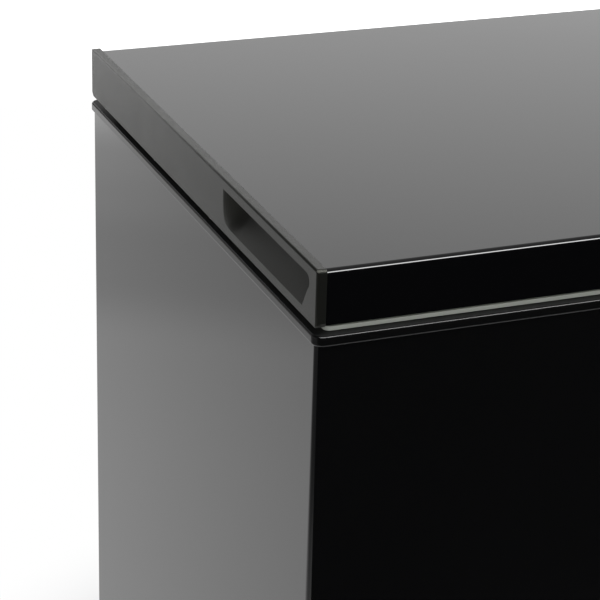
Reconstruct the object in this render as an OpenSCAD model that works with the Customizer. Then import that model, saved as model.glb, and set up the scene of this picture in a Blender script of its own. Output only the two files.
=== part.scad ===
// Chest freezer with a folded steel lid between two moulded end caps.
// Millimetres, +Z up, the front faces -Y. The origin is on the floor, under the middle of the whole.

/* [Overall] */
// Width of the lid across both end caps
lid_w = 905; // [860:5:1100]
// Depth of the lid from its front face to its back edge
lid_d = 600; // [570:5:700]
// Height of the lid's top sheet above the floor
top_h = 845; // [800:5:900]

/* [Lid] */
// Height of the lid's folded steel edge
lid_edge_h = 45.5; // [42:0.5:60]
// Thickness of the lid's steel skin
skin_t = 0.8; // [0.6:0.1:1.2]
// Radius of the fold along the lid's front and back edges
fold_r = 5.5; // [3:0.5:6]
// Width of the skin's hem under the front edge
hem_front = 9; // [7:0.5:9]
// Width of the skin's hem under the back edge, which carries the hinges
hem_back = 30; // [28:1:34]
// How far the end caps stand above, before and below the skin
cap_lip = 1.5; // [1:0.1:2.5]
// Width of the end cap's border over the skin
cap_border = 6; // [5:0.5:12]
// Thickness of the end cap's side wall
cap_wall = 2.5; // [2:0.1:3.5]
// Radius of the end cap's long edges
cap_r = 2; // [1:0.25:2.25]
// Radius of the end cap's two front corners, seen from the side
cap_nose_r = 4; // [2.5:0.25:6]
// Radius of the end cap's lower back corner
cap_heel_r = 11; // [4:0.5:12]
// Depth of the lid panel's tray below the skin
tray_h = 6; // [3:0.5:7]
// Thickness of the lid's inner panel
lid_liner_t = 1.5; // [1:0.1:2]

/* [Grip] */
// Depth of the finger scoop into the end cap
grip_depth = 18; // [14:1:24]
// Distance from the top sheet down to the scoop's upper edge
grip_drop = 7.5; // [6:0.5:12]
// Height of the scoop's opening
grip_h = 31; // [26:0.5:32]
// Distance from the lid's front to the scoop's front end
grip_front = 15; // [12:1:40]
// Length of the scoop at its upper edge
grip_l = 200; // [150:5:260]
// Length of the ramp at the scoop's rear end
grip_ramp = 38; // [25:1:80]
// How far the scoop's front end leans back towards its lower edge
grip_slant = 14; // [6:1:20]
// Radius of the scoop's upper front corner
grip_corner_r = 7; // [4:0.5:9]
// Wall of the scoop inside the lid
grip_wall = 2; // [1.5:0.1:3]

/* [Seal] */
// Height of the gap between the lid's skin and the cabinet's frame
seal_gap = 8.8; // [8:0.1:12]
// Distance of the gasket behind the lid's front face
seal_front = 9.5; // [9:0.5:14]
// Distance of the gasket from the lid's sides
seal_side = 12; // [10:0.5:16]
// Distance of the gasket from the lid's back edge
seal_back = 35; // [34:0.5:36]
// Width of the gasket
seal_w = 14; // [12:0.5:18]
// Gap kept between the soft gasket and the frame
seal_clear = 0.3; // [0.2:0.05:0.4]

/* [Frame] */
// Height of the frame's rounded bead
bead_h = 9; // [7:0.5:12]
// How far the bead stands out from the cabinet's sheet
bead_out = 2.5; // [2:0.1:4]
// Plan radius of the bead at the cabinet's corners
bead_corner_r = 9; // [7:0.5:14]
// Thickness of the frame's plastic
frame_t = 2.2; // [1.8:0.1:3]
// Depth of the ledge that carries the basket, below the frame's top
ledge_h = 12; // [9:0.5:16]
// Width of that ledge
ledge_w = 12; // [10:0.5:16]
// Height of the frame's lip inside the liner
lip_h = 12; // [8:0.5:20]
// Thickness of that lip
lip_t = 2; // [1.5:0.1:3]

/* [Cabinet] */
// How far the cabinet's sides stand in from the lid's sides
side_inset = 2.8; // [2.6:0.1:4.5]
// How far the cabinet's back stands out behind the lid's back edge
back_over = 6.5; // [2:0.5:6.5]
// Thickness of the cabinet's sheet steel
sheet_t = 0.8; // [0.6:0.1:1.2]
// Width of the wrapper's flanges along the back
back_flange = 18; // [12:1:24]
// Insulated wall, from the cabinet's outside to the liner's inside
wall_t = 69; // [68:1:74]
// Insulated floor, from the base to the liner's inside
floor_t = 66; // [56:1:80]
// Thickness of the inner liner
liner_t = 1.2; // [0.8:0.1:2]
// Plan radius of the liner's upright corners
liner_r = 30; // [24:1:40]
// Height of the cabinet's base above the floor
base_h = 32; // [31:1:38]
// Height of the base pan's folded edge
base_edge = 16; // [12:1:24]

/* [Compressor bay] */
// Width of the compressor bay from the cabinet's right side
bay_w = 235; // [225:5:270]
// Height of the compressor bay above the base
bay_h = 240; // [235:5:280]
// Insulation between the bay and the liner
step_wall = 55; // [45:1:70]
// Outer radius of the compressor's shell
comp_r = 66; // [58:1:68]
// Height of the compressor's lower shell
comp_low_h = 92; // [84:1:100]
// Height of the compressor's upper shell
comp_up_h = 62; // [54:1:66]
// Thickness of the compressor's shell
comp_t = 3; // [2.5:0.1:4]
// Half the spacing of the compressor's rubber mounts
comp_foot = 62; // [58:1:66]
// Height of the rubber mounts
grommet_h = 14; // [12:1:18]
// Distance from the compressor's axis to the cabinet's back
comp_back = 180; // [170:5:200]

/* [Refrigerant tubes] */
// Outer radius of the evaporator tube
evap_r = 4; // [3:0.25:5]
// Turns of evaporator tube round the liner
evap_turns = 4; // [3:1:5]
// Vertical spacing of the evaporator's turns
evap_pitch = 80; // [60:1:90]
// Outer radius of the condenser tube
cond_r = 2.5; // [2:0.25:3]
// Runs of condenser tube behind the wrapper
cond_turns = 5; // [3:1:6]
// Vertical spacing of the condenser's runs
cond_pitch = 80; // [50:1:90]
// Gap between the tubes and the sheet that they cool or warm
tube_gap = 0.3; // [0.2:0.05:1]

/* [Hinges] */
// Distance of each hinge from the cabinet's side
hinge_side = 120; // [100:5:180]
// Width of the hinge's housing
hinge_w = 46; // [40:1:56]
// Depth of the hinge's housing behind the cabinet
hinge_d = 35; // [35:0.5:40]
// Height of the hinge's housing below the pin
hinge_h = 150; // [130:5:180]
// Wall of the hinge's housing
hinge_t = 2.5; // [2:0.1:3]
// Distance of the pin behind the cabinet's back
pin_back = 20; // [19.5:0.1:21]
// Radius of the hinge's pin
pin_r = 3.5; // [3:0.1:4]
// Radial running clearance of pins, stems and axles
run_clear = 0.05; // [0.03:0.01:0.08]
// Radius of the eccentric cam that presses the plunger
cam_r = 9; // [8.5:0.1:9.5]
// Offset of the cam's centre from the pin
cam_e = 6; // [5:0.1:6.5]
// Width of the cam and knuckle
cam_w = 20; // [16:1:24]
// Opening angle of the lid
open_angle = 80; // [60:1:82]
// Gap between the cam and the plunger
cam_gap = 0.5; // [0.3:0.05:0.8]
// Height of the plunger's head
plunger_h = 14; // [10:1:18]
// Length of the plunger's stem inside the spring
stem_h = 60; // [40:5:70]
// Sliding clearance of the plunger in its housing
slide_clear = 0.35; // [0.3:0.05:0.6]
// Mean radius of the hinge's coil spring
spring_r = 8; // [7:0.25:9]
// Radius of the spring's wire
spring_wire = 1.3; // [1:0.1:1.6]
// Turns of the spring
spring_turns = 8; // [6:1:10]
// Thickness of the leaf that carries the lid
leaf_t = 2.5; // [2:0.1:3]
// Width of the leaf's plate under the lid
leaf_w = 64; // [56:1:80]
// Thickness of the hinge's plastic cover
cover_t = 1.6; // [1.2:0.1:2.2]

/* [Basket] */
// Width of the wire basket
basket_w = 210; // [180:5:260]
// Height of the wire basket
basket_h = 200; // [160:5:240]
// Radius of the basket's rim wire
rim_wire = 2.5; // [2:0.1:3]
// Radius of the basket's mesh wire
mesh_wire = 1.5; // [1.2:0.1:2]
// Spacing of the basket's upright wires
mesh_pitch = 48; // [36:1:60]
// Bands of wire round the basket below its rim
basket_bands = 2; // [1:1:3]
// Gap between the basket and the liner
basket_gap = 12; // [8:1:20]

/* [Controls and drain] */
// Width of the control panel
panel_w = 150; // [130:5:165]
// Height of the control panel
panel_h = 62; // [56:1:80]
// Distance of the control panel from the cabinet's right side
panel_side = 40; // [30:5:50]
// Height of the control panel's lower edge above the base
panel_up = 40; // [24:2:80]
// Radius of the thermostat's knob
knob_r = 19; // [15:0.5:21]
// Radius of the thermostat's shaft
shaft_r = 3; // [2.5:0.1:3.5]
// Outer radius of the drain tube
drain_r = 8; // [7:0.5:10]
// Inner radius of the drain tube
drain_bore = 6; // [4.5:0.5:6.5]
// Distance of the drain from the cabinet's left side
drain_side = 130; // [110:5:200]

/* [Feet] */
// Radius of the front feet
foot_r = 20; // [16:1:26]
// Distance of feet and rollers from the cabinet's sides
foot_side = 60; // [50:5:75]
// Distance of feet and rollers from the cabinet's front and back
foot_front = 60; // [50:5:90]
// Radius of the rear rollers
roller_r = 14; // [12:0.5:14]
// Width of the rear rollers
roller_w = 18; // [14:1:24]
// Radius of the rollers' axles
axle_r = 4; // [3:0.25:5]

/* [Hidden] */

$fn = 48;
cut = 1;

black_steel = [0.05, 0.05, 0.055];
dark_plastic = [0.22, 0.225, 0.21];
black_plastic = [0.06, 0.06, 0.06];
white_plastic = [0.9, 0.91, 0.91];
gasket_grey = [0.62, 0.64, 0.58];
zinc = [0.7, 0.71, 0.73];
foam_yellow = [0.88, 0.82, 0.6];
copper = [0.72, 0.42, 0.26];
rubber_black = [0.09, 0.09, 0.09];

// depth of the whole, from the lid's front to the back of the hinges
total_d = lid_d + back_over + hinge_d;
front_y = -total_d / 2;
lid_back = front_y + lid_d;
cab_front = front_y + bead_out;
cab_back = lid_back + back_over;
cab_w = lid_w - 2 * side_inset;
cab_d = cab_back - cab_front;
cab_mid = (cab_front + cab_back) / 2;
sheet_r = bead_corner_r - bead_out;

// levels
skin_low = top_h - lid_edge_h;
cap_low = skin_low - cap_lip;
cap_high = top_h + cap_lip;
frame_top = skin_low - seal_gap;
sheet_top = frame_top - bead_h;
ledge_z = frame_top - ledge_h;
liner_top = ledge_z - frame_t;
liner_floor = base_h + floor_t;
step_top = base_h + bay_h + step_wall;
step_x = cab_w / 2 - bay_w - step_wall;
bay_x = cab_w / 2 - bay_w;

// lid skin between the end caps
skin_front = front_y + cap_lip;
skin_back = lid_back - cap_lip;
skin_x = lid_w / 2 - cap_wall;

// inside of the liner
liner_w = cab_w - 2 * wall_t;
liner_d = cab_d - 2 * wall_t;

// hinges
pin_y = cab_back + pin_back;
pin_z = frame_top + seal_gap / 2;
hinge_x = cab_w / 2 - hinge_side;
cam_phase = open_angle / 2;
cam_y = -cam_e * cos(cam_phase);
cam_z = -cam_e * sin(cam_phase);
plunger_top = pin_z + cam_z - cam_r - cam_gap;
housing_low = pin_z - hinge_h;
housing_top = sheet_top - 2;
spring_low = housing_low + hinge_t;
spring_high = plunger_top - plunger_h;
knuckle_r = cam_r + cam_z;
ear_r = pin_r + 5.5;

// ---------- shared shapes ----------

module rounded_rect(w, d, r) {
    square([w - 2 * r, d], center = true);
    square([w, d - 2 * r], center = true);
    for (sx = [-1, 1], sy = [-1, 1])
        translate([sx * (w / 2 - r), sy * (d / 2 - r)]) circle(r = r);
}

// a plate with rounded plan corners, centred on the cabinet, from z0 to z1
module plate(w, d, r, z0, z1, y_mid = cab_mid) {
    translate([0, y_mid, z0]) linear_extrude(z1 - z0) rounded_rect(w, d, r);
}

// a ring that follows the cabinet's outline, between two distances in from its sheet
module ring(out_in, in_in, r_out, r_in, z0, z1) {
    difference() {
        plate(cab_w - 2 * out_in, cab_d - 2 * out_in, r_out, z0, z1);
        plate(cab_w - 2 * in_in, cab_d - 2 * in_in, r_in, z0 - cut, z1 + cut);
    }
}

// sweeps an upright section, drawn from the corner's centre outwards, round a rectangle
module rim_sweep(w, d, r) {
    half = [w / 2, d / 2];
    for (turn = [0:3]) {
        out = half[turn % 2];
        along = half[(turn + 1) % 2];
        rotate([0, 0, 90 * turn]) translate([out - r, along - r, 0]) {
            rotate_extrude(angle = 90) children();
            rotate([90, 0, 0]) linear_extrude(2 * (along - r)) children();
        }
    }
}

// round tube along points joined by axis-parallel runs, with a bend at each inner point
module pipe_run(points, r, bend) {
    last = len(points) - 1;
    for (i = [0:last - 1]) {
        run = points[i + 1] - points[i];
        way = run / norm(run);
        start = points[i] + way * (i == 0 ? 0 : bend);
        stop = points[i + 1] - way * (i == last - 1 ? 0 : bend);
        along_run(start, way) cylinder(r = r, h = norm(stop - start));
    }
    for (i = [1:last - 1]) {
        before = (points[i] - points[i - 1]) / norm(points[i] - points[i - 1]);
        after = (points[i + 1] - points[i]) / norm(points[i + 1] - points[i]);
        centre = points[i] - before * bend + after * bend;
        normal = cross(-after, before);
        multmatrix([
            [-after[0], before[0], normal[0], centre[0]],
            [-after[1], before[1], normal[1], centre[1]],
            [-after[2], before[2], normal[2], centre[2]],
            [0, 0, 0, 1]]) rotate_extrude(angle = 90) translate([bend, 0]) circle(r = r);
    }
}

// stands a child on a point with its Z axis along one of the main directions
module along_run(point, way) {
    translate(point) rotate(
        abs(way[2]) > 0.5 ? [way[2] > 0 ? 0 : 180, 0, 0] :
        abs(way[0]) > 0.5 ? [0, way[0] > 0 ? 90 : -90, 0] :
        [way[1] > 0 ? -90 : 90, 0, 0]) children();
}

// hole or shank along -Y, +Y or Z, centred on a point
module rod_y(point, r, length) {
    translate(point) rotate([90, 0, 0]) cylinder(r = r, h = length, center = true);
}

module rod_x(point, r, length) {
    translate(point) rotate([0, 90, 0]) cylinder(r = r, h = length, center = true);
}

// ---------- cabinet shell ----------

panel_x = cab_w / 2 - panel_side - panel_w / 2;
panel_z = base_h + panel_up + panel_h / 2;
grille_w = 300;
grille_h = 110;
grille_y = cab_back - 60 - grille_w / 2;
grille_z = base_h + 60 + grille_h / 2;
outlet_x = -cab_w / 2 + drain_side;
outlet_z = base_h + 32;
outlet_r = drain_r + 8;

// the room that the liner encloses, grown by a wall on every side but the top
module liner_room(grow) {
    difference() {
        plate(liner_w + 2 * grow, liner_d + 2 * grow, liner_r + grow, liner_floor - grow, liner_top);
        translate([step_x + grow, cab_front, liner_floor - grow - cut])
            cube([cab_w, cab_d, step_top - liner_floor + cut]);
    }
}

// folded sheet round the front and sides, turned in along the back to carry the back panel
module outer_wrapper() {
    mid = cab_mid - sheet_t / 2;
    color(black_steel) difference() {
        plate(cab_w, cab_d - sheet_t, sheet_r, base_h, frame_top - frame_t, mid);
        plate(cab_w - 2 * sheet_t, cab_d - 3 * sheet_t, sheet_r - sheet_t,
            base_h - cut, frame_top, mid);
        translate([back_flange - cab_w / 2, cab_mid, base_h - cut])
            cube([cab_w - 2 * back_flange, cab_d, frame_top]);
        translate([panel_x, cab_front, panel_z])
            cube([panel_w - 8, 20, panel_h - 8], center = true);
        translate([cab_w / 2, grille_y, grille_z])
            cube([20, grille_w - 12, grille_h - 12], center = true);
        rod_y([outlet_x, cab_front, outlet_z], outlet_r - 2, 20);
    }
}

module back_panel() {
    color(zinc) difference() {
        translate([sheet_r - cab_w / 2, cab_back - sheet_t, base_h])
            cube([cab_w - 2 * sheet_r, sheet_t, frame_top - frame_t - base_h]);
        translate([bay_x, cab_back - sheet_t - cut, base_h - cut])
            cube([bay_w + cut, sheet_t + 2 * cut, bay_h + cut]);
        hinge_screw_holes();
    }
}

// gap between sheet edges that only meet
slack = 0.2;

module base_pan() {
    inner_w = cab_w - 2 * sheet_t - 2 * slack;
    inner_d = cab_d - 3 * sheet_t - 2 * slack;
    mid = cab_mid - sheet_t / 2;
    color(zinc) difference() {
        plate(inner_w, inner_d, sheet_r - sheet_t - slack, base_h, base_h + base_edge, mid);
        plate(inner_w - 2 * sheet_t, inner_d - 2 * sheet_t, sheet_r - 2 * sheet_t - slack,
            base_h + sheet_t, base_h + base_edge + cut, mid);
        // stiffening slots let air into the compressor bay
        for (i = [0:5])
            translate([cab_w / 2 - bay_w / 2 - 60 + 24 * i, cab_front + 110, base_h])
                cube([8, 90, 6], center = true);
        for (side = [-1, 1]) {
            translate([side * foot_x, foot_y, base_h]) cylinder(r = 4.2, h = 10, center = true);
            for (dx = [-1, 1], dy = [-1, 1])
                translate([side * foot_x + dx * bracket_hole, roller_y + dy * bracket_hole, base_h])
                    cylinder(r = 2.2, h = 10, center = true);
        }
        at_grommets() translate([0, 0, -grommet_h]) cylinder(r = 4.05, h = 30, center = true);
        rod_y([outlet_x, cab_front, outlet_z], outlet_r, 60);
    }
}

module inner_liner() {
    color(white_plastic) {
        difference() {
            liner_room(liner_t);
            liner_room(0);
            plate(liner_w, liner_d, liner_r, liner_top - cut, liner_top + cut);
            translate([outlet_x, cab_mid, liner_floor - cut]) cylinder(r = drain_r, h = 2 * cut,
                center = true);
        }
        // rim under the frame's ledge
        ring(wall_t - 8, wall_t - liner_t, liner_r + 8, liner_r + liner_t,
            liner_top - liner_t, liner_top);
    }
}

module cabinet_foam() {
    color(foam_yellow) difference() {
        plate(cab_w - 2 * sheet_t, cab_d - 3 * sheet_t, sheet_r - sheet_t,
            base_h + base_edge, frame_top - frame_t, cab_mid - sheet_t / 2);
        liner_room(liner_t);
        plate(liner_w, liner_d, liner_r, liner_top - cut, frame_top);
        ring(wall_t - 8, wall_t, liner_r + 8, liner_r, liner_top - liner_t, frame_top);
        ring(wall_t - ledge_w - frame_t, wall_t, liner_r + ledge_w + frame_t, liner_r,
            ledge_z - frame_t, frame_top);
        translate([bay_x - sheet_t, cab_front, base_h])
            cube([bay_w + 2 * sheet_t, cab_d, bay_h + sheet_t]);
        evaporator_channels();
        condenser_channels();
        hinge_screw_holes();
        drain_path(drain_r);
        rod_y([outlet_x, cab_front, outlet_z], outlet_r + 1, 60);
    }
}

module top_frame() {
    ledge_in = wall_t - ledge_w;
    color(black_plastic) {
        // bead round the outside, with rounded edges
        translate([0, cab_mid, 0])
            rim_sweep(cab_w + 2 * bead_out, cab_d + 2 * bead_out, bead_corner_r)
                bead_section();
        ring(0, ledge_in, sheet_r, liner_r + ledge_w, frame_top - frame_t, frame_top);
        ring(ledge_in - frame_t, ledge_in, liner_r + ledge_w + frame_t, liner_r + ledge_w,
            ledge_z - frame_t, frame_top);
        ring(ledge_in - frame_t, wall_t + lip_t, liner_r + ledge_w + frame_t, liner_r - lip_t,
            ledge_z - frame_t, ledge_z);
        ring(wall_t, wall_t + lip_t, liner_r, liner_r - lip_t, ledge_z - lip_h, ledge_z);
    }
}

// section of the bead, from the corner's centre out
module bead_section() {
    r = bead_out - 0.4;
    intersection() {
        union() {
            translate([0, sheet_top + r]) square([bead_corner_r, bead_h - 2 * r]);
            translate([0, sheet_top]) square([bead_corner_r - r, bead_h]);
            for (z = [sheet_top + r, frame_top - r])
                translate([bead_corner_r - r, z]) circle(r = r);
        }
        translate([sheet_r, sheet_top]) square([bead_out, bead_h]);
    }
}

module bay_partition() {
    depth = cab_d - 3 * sheet_t;
    color(zinc) difference() {
        intersection() {
            translate([bay_x - sheet_t, cab_front + sheet_t, base_h + base_edge])
                cube([bay_w, depth, bay_h + sheet_t - base_edge]);
            plate(cab_w - 2 * sheet_t, depth, sheet_r - sheet_t, base_h, base_h + 2 * bay_h,
                cab_mid - sheet_t / 2);
        }
        translate([bay_x, cab_front, base_h]) cube([bay_w, cab_d, bay_h]);
    }
}

// ---------- refrigerant tubes ----------

// turns round the liner, open at the middle of the back, joined there by alternate U-bends
module evaporator_path() {
    out_x = liner_w / 2 + liner_t + evap_r + tube_gap;
    out_y = liner_d / 2 + liner_t + evap_r + tube_gap;
    low = step_top + 20;
    bend = liner_r + liner_t + evap_r + tube_gap;
    half_gap = 70;
    turn = [for (i = [0:evap_turns - 1]) each
        let (z = low + i * evap_pitch, s = i % 2 == 0 ? 1 : -1) [
            [s * half_gap, out_y, z], [s * out_x, out_y, z], [s * out_x, -out_y, z],
            [-s * out_x, -out_y, z], [-s * out_x, out_y, z], [-s * half_gap, out_y, z]]];
    translate([0, cab_mid, 0]) {
        for (i = [0:evap_turns - 1])
            pipe_run([for (k = [0:5]) turn[6 * i + k]], evap_r, bend);
        for (i = [0:evap_turns - 2])
            let (s = i % 2 == 0 ? -1 : 1, z = low + i * evap_pitch)
                pipe_run([[s * half_gap, out_y, z], [s * (half_gap - 34), out_y, z],
                    [s * (half_gap - 34), out_y, z + evap_pitch],
                    [s * half_gap, out_y, z + evap_pitch]], evap_r, 20);
    }
}

// channels in the foam that the turns and their U-bends lie in
module evaporator_channels() {
    in_0 = wall_t - liner_t;
    in_1 = in_0 - 2 * evap_r - 2 * tube_gap;
    half = evap_r + tube_gap;
    low = step_top + 20;
    for (i = [0:evap_turns - 1])
        ring(in_1, in_0, liner_r + wall_t - in_1, liner_r + wall_t - in_0,
            low + i * evap_pitch - half, low + i * evap_pitch + half);
    translate([-70, cab_back - wall_t, low - half])
        cube([140, wall_t - in_1, (evap_turns - 1) * evap_pitch + 2 * half]);
}

module condenser_channels() {
    half = cond_r + tube_gap;
    low = base_h + bay_h + 40;
    top = low + (cond_turns - 1) * cond_pitch;
    for (i = [0:cond_turns - 1])
        ring(sheet_t, sheet_t + 2 * half, sheet_r - sheet_t, 12 - half,
            low + i * cond_pitch - half, low + i * cond_pitch + half);
    for (side = [0, 1]) mirror([side, 0, 0])
        translate([cab_w / 2 - sheet_t - 2 * half, cab_back - 62, low - half])
            cube([2 * half, 30, top - low + 2 * half]);
}

module evaporator_tube() {
    color(copper) evaporator_path();
}

// runs behind the wrapper's left, front and right walls, joined by U-bends near the back
module condenser_path() {
    x = cab_w / 2 - sheet_t - cond_r - tube_gap;
    front = cab_front + sheet_t + cond_r + tube_gap;
    back = cab_back - 60;
    low = base_h + bay_h + 40;
    for (i = [0:cond_turns - 1])
        pipe_run([[-x, back, low + i * cond_pitch], [-x, front, low + i * cond_pitch],
            [x, front, low + i * cond_pitch], [x, back, low + i * cond_pitch]], cond_r, 12);
    for (i = [0:cond_turns - 2])
        let (s = i % 2 == 0 ? 1 : -1, z = low + i * cond_pitch)
            pipe_run([[s * x, back, z], [s * x, back + 24, z],
                [s * x, back + 24, z + cond_pitch], [s * x, back, z + cond_pitch]], cond_r, 14);
}

module condenser_tube() {
    color(copper) condenser_path();
}

// ---------- compressor bay ----------

comp_x = cab_w / 2 - bay_w / 2;
comp_y = cab_back - comp_back;
plate_z = base_h + sheet_t + grommet_h;
plate_t = 3;
comp_low = plate_z + plate_t;
seam_z = comp_low + comp_low_h;

module at_grommets() {
    for (dx = [-1, 1], dy = [-1, 1])
        translate([comp_x + dx * comp_foot, comp_y + dy * comp_foot, plate_z]) children();
}

module compressor_lower_shell() {
    round_r = 22;
    color(rubber_black) translate([comp_x, comp_y, comp_low]) rotate_extrude() difference() {
        union() {
            square([comp_r - round_r, comp_low_h]);
            translate([0, round_r]) square([comp_r, comp_low_h - round_r]);
            translate([comp_r - round_r, round_r]) circle(r = round_r);
        }
        translate([0, comp_t]) square([comp_r - round_r, comp_low_h]);
        translate([0, round_r]) square([comp_r - comp_t, comp_low_h]);
        translate([comp_r - round_r, round_r]) circle(r = round_r - comp_t);
        translate([-comp_r, -cut]) square([comp_r, 2 * comp_low_h]);
    }
}

module compressor_upper_shell() {
    round_r = 30;
    rim = 4;
    color(rubber_black) translate([comp_x, comp_y, seam_z]) difference() {
        rotate_extrude() upper_section(round_r, rim);
        translate([-pipe_dx, 0, 0]) cylinder(r = suction_r, h = 2 * comp_up_h);
        translate([pipe_dx, 0, 0]) cylinder(r = discharge_r, h = 2 * comp_up_h);
    }
}

module upper_section(round_r, rim) {
    difference() {
        union() {
            square([comp_r - round_r, comp_up_h]);
            square([comp_r, comp_up_h - round_r]);
            translate([comp_r - round_r, comp_up_h - round_r]) circle(r = round_r);
            square([comp_r + rim, comp_t]);
        }
        translate([0, -cut]) square([comp_r - round_r, comp_up_h - comp_t + cut]);
        translate([0, -cut]) square([comp_r - comp_t, comp_up_h - round_r + cut]);
        translate([comp_r - round_r, comp_up_h - round_r]) circle(r = round_r - comp_t);
        translate([-comp_r, -cut]) square([comp_r, 2 * comp_up_h]);
    }
}

pipe_dx = 30;
suction_r = 4;
discharge_r = 3;

module compressor_base_plate() {
    side = 2 * comp_foot + 32;
    color(rubber_black) difference() {
        translate([comp_x, comp_y, plate_z]) linear_extrude(plate_t) rounded_rect(side, side, 14);
        at_grommets() cylinder(r = 8, h = 20, center = true);
    }
}

// waisted rubber mounts, held in the plate's holes
module compressor_grommets() {
    color(rubber_black) at_grommets() rotate_extrude() {
        translate([4, -grommet_h]) square([8, grommet_h]);
        translate([4, 0]) square([4, plate_t]);
        translate([4, plate_t]) square([8, 3]);
    }
}

module compressor_bolts() {
    color(zinc) at_grommets() {
        translate([0, 0, -grommet_h - sheet_t - 3]) cylinder(r = 4 - run_clear,
            h = grommet_h + sheet_t + plate_t + 12);
        translate([0, 0, -grommet_h - sheet_t - 3]) cylinder(r = 7.5, h = 3, $fn = 6);
        translate([0, 0, plate_t + 3]) cylinder(r = 9, h = 1.5);
        translate([0, 0, plate_t + 4.5]) cylinder(r = 7.5, h = 5, $fn = 6);
    }
}

module relay_box() {
    depth = 36;
    color(black_plastic) difference() {
        translate([comp_x - 30, comp_y - comp_r - depth, comp_low + 26])
            cube([60, depth + 20, 52]);
        translate([comp_x, comp_y, comp_low]) cylinder(r = comp_r + 0.2, h = 200);
        for (i = [0:3])
            translate([comp_x - 22 + 13 * i, comp_y - comp_r - depth - cut, comp_low + 34])
                cube([5, 3, 34]);
    }
}

module suction_pipe() {
    top = seam_z + comp_up_h;
    color(copper) pipe_run([[comp_x - pipe_dx, comp_y, top - 6],
        [comp_x - pipe_dx, comp_y, top + 22], [comp_x - pipe_dx, cab_back - 40, top + 22],
        [bay_x, cab_back - 40, top + 22]], suction_r, 10);
}

module discharge_pipe() {
    top = seam_z + comp_up_h;
    color(copper) pipe_run([[comp_x + pipe_dx, comp_y, top - 6],
        [comp_x + pipe_dx, comp_y, top + 18], [comp_x + pipe_dx, comp_y - 150, top + 18],
        [comp_x + pipe_dx, comp_y - 150, drier_z + 90]], discharge_r, 10);
}

drier_z = base_h + 60;

module drier_filter() {
    color(copper) translate([comp_x + pipe_dx, comp_y - 150, drier_z]) rotate_extrude() {
        square([3, 90]);
        translate([0, 8]) square([6, 74]);
        translate([0, 14]) square([9, 62]);
    }
}

// ---------- grilles ----------

module side_grille() {
    color(black_plastic) difference() {
        union() {
            translate([cab_w / 2 - sheet_t - 5, grille_y - (grille_w - 13) / 2,
                grille_z - (grille_h - 13) / 2]) cube([sheet_t + 5, grille_w - 13, grille_h - 13]);
            translate([cab_w / 2, grille_y, grille_z]) rotate([90, 0, 90])
                linear_extrude(1.8) rounded_rect(grille_w, grille_h, 6);
        }
        for (i = [0:7], k = [0:1])
            translate([cab_w / 2 - 10, grille_y - grille_w / 2 + 14 + 140 * k,
                grille_z - grille_h / 2 + 13 + 11.2 * i])
                    rotate([0, 30, 0]) cube([40, 128, 3.6]);
    }
}

// sheet cover over the bay's open back, stamped outwards inside its rim, with cooling slots
module compressor_cover() {
    rim = 12;
    stamp = 2;
    cover_w = bay_w - 6;
    cover_h = bay_h - 4;
    slot_w = (cover_w - 2 * rim - 3 * slot_gap) / 2;
    color(zinc) translate([bay_x + 3, cab_back - sheet_t, base_h + 2]) difference() {
        union() {
            cube([cover_w, sheet_t, cover_h]);
            translate([rim, 0, rim]) cube([cover_w - 2 * rim, sheet_t + stamp, cover_h - 2 * rim]);
        }
        translate([rim + sheet_t, -cut, rim + sheet_t])
            cube([cover_w - 2 * rim - 2 * sheet_t, stamp + cut, cover_h - 2 * rim - 2 * sheet_t]);
        for (i = [0:slot_rows - 1], k = [0:1])
            translate([rim + slot_gap + (slot_w + slot_gap) * k, 0, 70 + 12 * i])
                cube([slot_w, 10, 5]);
        translate([comp_x - bay_x - 3, 0, gland_z - base_h - 2]) rotate([90, 0, 0])
            cylinder(r = 9, h = 20, center = true);
    }
}

slot_gap = 14;
slot_rows = 11;
gland_z = base_h + 40;

module cord_gland() {
    color(black_plastic) difference() {
        union() {
            translate([comp_x, cab_back + 2, gland_z]) rotate([-90, 0, 0]) cylinder(r = 12, h = 3);
            translate([comp_x, cab_back - 8, gland_z]) rotate([-90, 0, 0]) cylinder(r = 9, h = 11);
            translate([comp_x, cab_back + 5, gland_z]) rotate([-90, 0, 0])
                cylinder(r1 = 8, r2 = 6, h = 14);
        }
        rod_y([comp_x, cab_back, gland_z], 4, 80);
    }
}

// ---------- controls ----------

knob_x = panel_x - panel_w / 2 + 34;
switch_x = panel_x + panel_w / 2 - 26;
lamp_x = panel_x + 12;
dish_depth = 11;
panel_face = cab_front - 0.8;
dish_y = panel_face + dish_depth;
switch_w = 22;
switch_h = 14;

module control_bezel() {
    color(black_plastic) difference() {
        union() {
            translate([panel_x, cab_front, panel_z]) rotate([90, 0, 0])
                linear_extrude(0.8) rounded_rect(panel_w, panel_h, 5);
            translate([panel_x - (panel_w - 9) / 2, cab_front, panel_z - (panel_h - 9) / 2])
                cube([panel_w - 9, dish_depth + 2, panel_h - 9]);
        }
        // dish that the knob turns in
        rod_y([knob_x, panel_face + dish_depth / 2 - cut, panel_z], knob_r + 3,
            dish_depth + 2 * cut);
        // pocket behind the face, so that only its walls and the dish's floor are left
        rod_y([knob_x, cab_front, panel_z], shaft_r + 1, 80);
        for (i = [-1:1]) rod_y([lamp_x, cab_front, panel_z + 14 * i], 2.6, 80);
        translate([switch_x, cab_front, panel_z])
            cube([switch_w + 0.1, 60, switch_h + 0.1], center = true);
        translate([panel_x - 18, panel_face + 2.5, panel_z - panel_h / 2 + 7])
            cube([18, dish_depth + 10, panel_h - 14]);
    }
}

module thermostat_body() {
    color(white_plastic) difference() {
        translate([knob_x - 22, cab_front + dish_depth + 2, panel_z - 18]) cube([44, 26, 36]);
        rod_y([knob_x, cab_front, panel_z], shaft_r + run_clear, 60);
    }
}

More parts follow.
